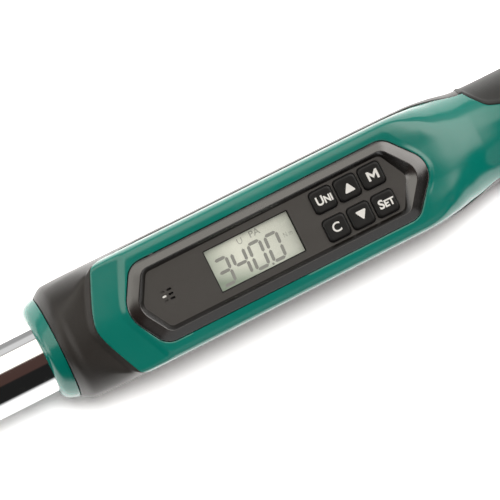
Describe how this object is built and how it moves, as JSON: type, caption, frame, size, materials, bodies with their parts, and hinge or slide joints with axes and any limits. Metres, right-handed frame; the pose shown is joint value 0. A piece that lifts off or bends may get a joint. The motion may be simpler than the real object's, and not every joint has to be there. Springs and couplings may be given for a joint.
{
  "type": "digital torque wrench",
  "caption": "Electronic torque wrench with a square-drive ratchet head, chromed tube, display console with keys, and a rubber grip.",
  "frame": {"origin": "on the drive axis, at the shoulder where a socket seats", "axes": "+X along the tube from the head to the battery cap, +Z out of the display, -Z down the square drive"},
  "size_m": [0.65, 0.044, 0.0536],
  "materials": {
    "chrome": "polished chrome plate",
    "head_steel": "satin chrome plate",
    "gear_steel": "ground and oiled alloy steel",
    "screw_steel": "black oxide steel",
    "spring_steel": "bright spring wire",
    "green_plastic": "fine-textured teal green plastic",
    "dark_plastic": "satin dark grey plastic",
    "dark_rubber": "soft textured dark rubber",
    "bezel_plastic": "semi-gloss dark grey-brown plastic",
    "panel_plastic": "fine matt dark grey film",
    "clear": "clear hard-coated window",
    "lcd": "pale grey-green reflective liquid crystal display",
    "white_plastic": "white moulded plastic",
    "key_rubber": "dark silicone rubber",
    "board": "green solder mask over glass epoxy",
    "chip": "black moulded epoxy",
    "brass_part": "nickel-free brass",
    "cell_jacket": "shrunk plastic jacket",
    "gauge_foil": "amber polyimide film with foil tracks",
    "cable_jacket": "black cable jacket",
    "seal_rubber": "black nitrile rubber"
  },
  "bodies": {
    "wrench": {"ratchet_head": "head_steel", "head_cover": "head_steel", "cover_screws": "screw_steel", "head_pins": "gear_steel", "pawl_pin": "gear_steel", "tube": "chrome", "strain_gauges": "gauge_foil", "gauge_cable": "cable_jacket", "upper_shell": "green_plastic", "lower_shell": "dark_plastic", "grip_sleeve": "dark_rubber", "shell_screws": "screw_steel", "handle_screw": "screw_steel", "front_ring": "green_plastic", "end_ring": "green_plastic", "bezel": "bezel_plastic", "control_panel": "panel_plastic", "display_window": "clear", "indicator_lens": "white_plastic", "lcd_module": "lcd", "lcd_holder": "white_plastic", "keypad_mat": "key_rubber", "circuit_board": "board", "board_components": "chip", "board_screws": "screw_steel", "key_switches": "chip", "buzzer": "chip", "batteries": "cell_jacket", "battery_sleeve": "white_plastic", "contact_holder": "white_plastic", "positive_contact": "brass_part", "power_leads": "cable_jacket"},
    "drive": {"drive_gear": "gear_steel", "release_spring": "spring_steel"},
    "release": {"release_button": "gear_steel"},
    "ball": {"detent_ball": "spring_steel"},
    "rocker": {"pawl": "gear_steel"},
    "lever": {"reversing_lever": "head_steel", "selector_spring": "spring_steel"},
    "plunger": {"selector_plunger": "gear_steel"},
    "unit_key": {"key_unit": "key_rubber"},
    "up_key": {"key_up": "key_rubber"},
    "memory_key": {"key_memory": "key_rubber"},
    "clear_key": {"key_clear": "key_rubber"},
    "down_key": {"key_down": "key_rubber"},
    "set_key": {"key_set": "key_rubber"},
    "cap_carrier": {"cap_contact": "brass_part", "cap_spring": "spring_steel"},
    "cap": {"battery_cap": "dark_plastic", "cap_seal": "seal_rubber"}
  },
  "joints": [
    {"name": "drive_spin", "type": "hinge", "parent": "wrench", "child": "drive", "pos_m": [0, 0, 0], "axis": [0, 0, 1], "continuous": true},
    {"name": "release_press", "type": "slide", "parent": "drive", "child": "release", "axis": [0, 0, -1], "range_m": [0, 0.003], "stiffness_N_per_m": 600, "springref_m": -0.002, "deforming": ["release_spring"]},
    {"name": "ball_slide", "type": "slide", "parent": "drive", "child": "ball", "axis": [-1, 0, 0], "range_m": [0, 0.00095]},
    {"name": "lever_turn", "type": "hinge", "parent": "wrench", "child": "lever", "pos_m": [0.032, 0, 0], "axis": [0, 0, 1], "range_deg": [0, 50]},
    {"name": "pawl_rock", "type": "hinge", "parent": "wrench", "child": "rocker", "pos_m": [0.0225, 0, 0], "axis": [0, 0, 1], "range_deg": [-10, 0]},
    {"name": "plunger_slide", "type": "slide", "parent": "lever", "child": "plunger", "axis": [0.9063, -0.4226, 0], "range_m": [0, 0.0003], "stiffness_N_per_m": 800, "springref_m": -0.002},
    {"name": "key_unit_press", "type": "slide", "parent": "wrench", "child": "unit_key", "axis": [0, 0, -1], "range_m": [0, 0.0008], "stiffness_N_per_m": 1200, "springref_m": -0.0005},
    {"name": "key_up_press", "type": "slide", "parent": "wrench", "child": "up_key", "axis": [0, 0, -1], "range_m": [0, 0.0008], "stiffness_N_per_m": 1200, "springref_m": -0.0005},
    {"name": "key_memory_press", "type": "slide", "parent": "wrench", "child": "memory_key", "axis": [0, 0, -1], "range_m": [0, 0.0008], "stiffness_N_per_m": 1200, "springref_m": -0.0005},
    {"name": "key_clear_press", "type": "slide", "parent": "wrench", "child": "clear_key", "axis": [0, 0, -1], "range_m": [0, 0.0008], "stiffness_N_per_m": 1200, "springref_m": -0.0005},
    {"name": "key_down_press", "type": "slide", "parent": "wrench", "child": "down_key", "axis": [0, 0, -1], "range_m": [0, 0.0008], "stiffness_N_per_m": 1200, "springref_m": -0.0005},
    {"name": "key_set_press", "type": "slide", "parent": "wrench", "child": "set_key", "axis": [0, 0, -1], "range_m": [0, 0.0008], "stiffness_N_per_m": 1200, "springref_m": -0.0005},
    {"name": "cap_travel", "type": "slide", "parent": "wrench", "child": "cap_carrier", "axis": [1, 0, 0], "range_m": [0, 0.0075]},
    {"name": "cap_turn", "type": "hinge", "parent": "cap_carrier", "child": "cap", "pos_m": [0.62, 0, 0.0145], "axis": [1, 0, 0], "range_deg": [0, 1800]}
  ],
  "couplings": [
    {"joint": "ball_slide", "follows": "release_press", "ratio": 0.3166},
    {"joint": "pawl_rock", "follows": "lever_turn", "ratio": -0.2},
    {"joint": "cap_travel", "follows": "cap_turn", "m_per_rad": 0.00023873}
  ]
}
